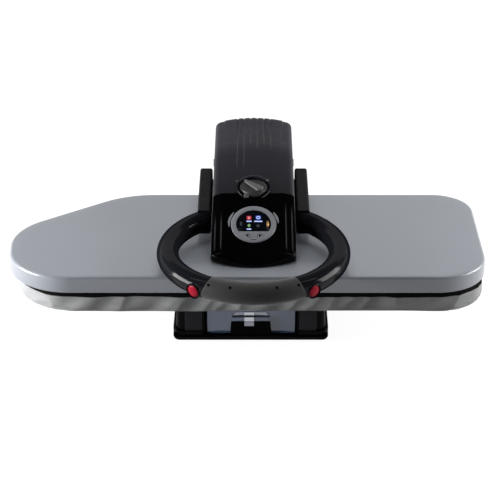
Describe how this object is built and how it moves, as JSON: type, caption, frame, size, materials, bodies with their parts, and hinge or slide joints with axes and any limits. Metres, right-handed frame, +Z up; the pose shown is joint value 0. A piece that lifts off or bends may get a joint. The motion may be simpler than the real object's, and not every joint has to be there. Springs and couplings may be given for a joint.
{
  "type": "steam ironing press",
  "caption": "Table-top steam ironing press with a padded board, a heated plate on a hinged arm, a ring handle and a slide-out water tank.",
  "frame": {"origin": "middle of the base's footprint, at floor level", "axes": "+X to the right along the plate's length, +Y to the back, +Z up; the handle faces -Y"},
  "size_m": [0.6413, 0.4638, 0.207],
  "materials": {
    "base_plastic": "gloss black moulded plastic",
    "cover_plastic": "satin black moulded plastic",
    "feet_rubber": "matt rubber",
    "zinc_steel": "zinc plated steel",
    "black_steel": "black powder coat",
    "sheet_steel": "bare galvanised sheet",
    "foam": "open cell foam",
    "board_cloth": "grey coated cotton cloth",
    "clear_tank": "translucent blue grey plastic",
    "gloss_black": "high gloss black plastic",
    "valve_plastic": "white moulded plastic",
    "circuit": "green circuit laminate",
    "plate_paint": "silver grey paint",
    "sole_metal": "coated cast aluminium",
    "heater_metal": "dark heater sheath",
    "mat": "mineral fibre mat",
    "brass": "plain brass",
    "bezel_silver": "satin silver",
    "display_glass": "dark lens with lit icons",
    "knob_plastic": "dark grey plastic",
    "grip_rubber": "matt grey soft touch plastic",
    "button_red": "red plastic",
    "key_grey": "grey plastic"
  },
  "bodies": {
    "base": {"base_tray": "base_plastic", "rubber_feet": "feet_rubber", "base_screws": "zinc_steel", "base_cover": "cover_plastic", "tank_bay": "cover_plastic", "pump": "valve_plastic", "feed_hose": "feet_rubber", "control_board": "circuit", "power_inlet": "cover_plastic", "hinge_frame": "black_steel", "column_cover": "cover_plastic", "hinge_pin": "zinc_steel", "pin_clips": "zinc_steel", "lift_springs": "zinc_steel", "board_frame": "black_steel", "board_bolts": "zinc_steel", "board_tray": "sheet_steel", "board_pad": "foam", "board_cover": "board_cloth"},
    "water_tank": {"tank": "clear_tank", "tank_lid": "clear_tank", "tank_cap": "gloss_black", "tank_grip": "gloss_black", "tank_valve": "valve_plastic"},
    "arm": {"plate_cover": "plate_paint", "sole_plate": "sole_metal", "heating_element": "heater_metal", "steam_chamber": "sole_metal", "insulation": "mat", "thermostat": "brass", "plate_bracket": "black_steel", "plate_bolts": "zinc_steel", "steam_pipe": "brass", "arm_beam": "black_steel", "hinge_bushes": "valve_plastic", "lever_shaft": "zinc_steel", "hood": "cover_plastic", "pod_cover": "gloss_black", "hood_base": "cover_plastic", "bezel": "bezel_silver", "display_lens": "display_glass", "display_board": "circuit", "dial_plate": "gloss_black", "steam_valve": "brass"},
    "steam_knob": {"knob": "knob_plastic", "knob_shaft": "zinc_steel"},
    "handle": {"lever_arm_left": "cover_plastic", "lever_arm_right": "cover_plastic", "handle_ring_left": "gloss_black", "handle_ring_right": "gloss_black", "handle_grip": "grip_rubber", "grip_screws": "zinc_steel", "button_collars": "gloss_black", "handle_core": "zinc_steel"},
    "left_button": {"button_left": "button_red"},
    "right_button": {"button_right": "button_red"},
    "left_key": {"panel_button_left": "key_grey"},
    "right_key": {"panel_button_right": "key_grey"}
  },
  "joints": [
    {"name": "arm_hinge", "type": "hinge", "parent": "base", "child": "arm", "pos_m": [0.0038, 0.12, 0.13], "axis": [-1, 0, 0], "range_deg": [0, 32]},
    {"name": "lever_lift", "type": "hinge", "parent": "arm", "child": "handle", "pos_m": [0.0038, 0.05, 0.136], "axis": [-1, 0, 0], "range_deg": [0, 12]},
    {"name": "tank_slide", "type": "slide", "parent": "base", "child": "water_tank", "axis": [0, -1, 0], "range_m": [0, 0.145]},
    {"name": "steam_knob_turn", "type": "hinge", "parent": "arm", "child": "steam_knob", "pos_m": [0.0038, -0.058, 0.1726], "axis": [0, -0.1045, 0.9945], "range_deg": [-100, 0]},
    {"name": "left_button_press", "type": "slide", "parent": "handle", "child": "left_button", "axis": [0.5934, 0.799, 0.0977], "range_m": [0, 0.003], "stiffness_N_per_m": 400, "springref_m": -0.002},
    {"name": "right_button_press", "type": "slide", "parent": "handle", "child": "right_button", "axis": [-0.5934, 0.799, 0.0977], "range_m": [0, 0.003], "stiffness_N_per_m": 400, "springref_m": -0.002},
    {"name": "left_key_press", "type": "slide", "parent": "arm", "child": "left_key", "axis": [0, 0.4824, -0.8759], "range_m": [0, 0.0007], "stiffness_N_per_m": 400, "springref_m": -0.001},
    {"name": "right_key_press", "type": "slide", "parent": "arm", "child": "right_key", "axis": [0, 0.4824, -0.8759], "range_m": [0, 0.0007], "stiffness_N_per_m": 400, "springref_m": -0.001}
  ]
}
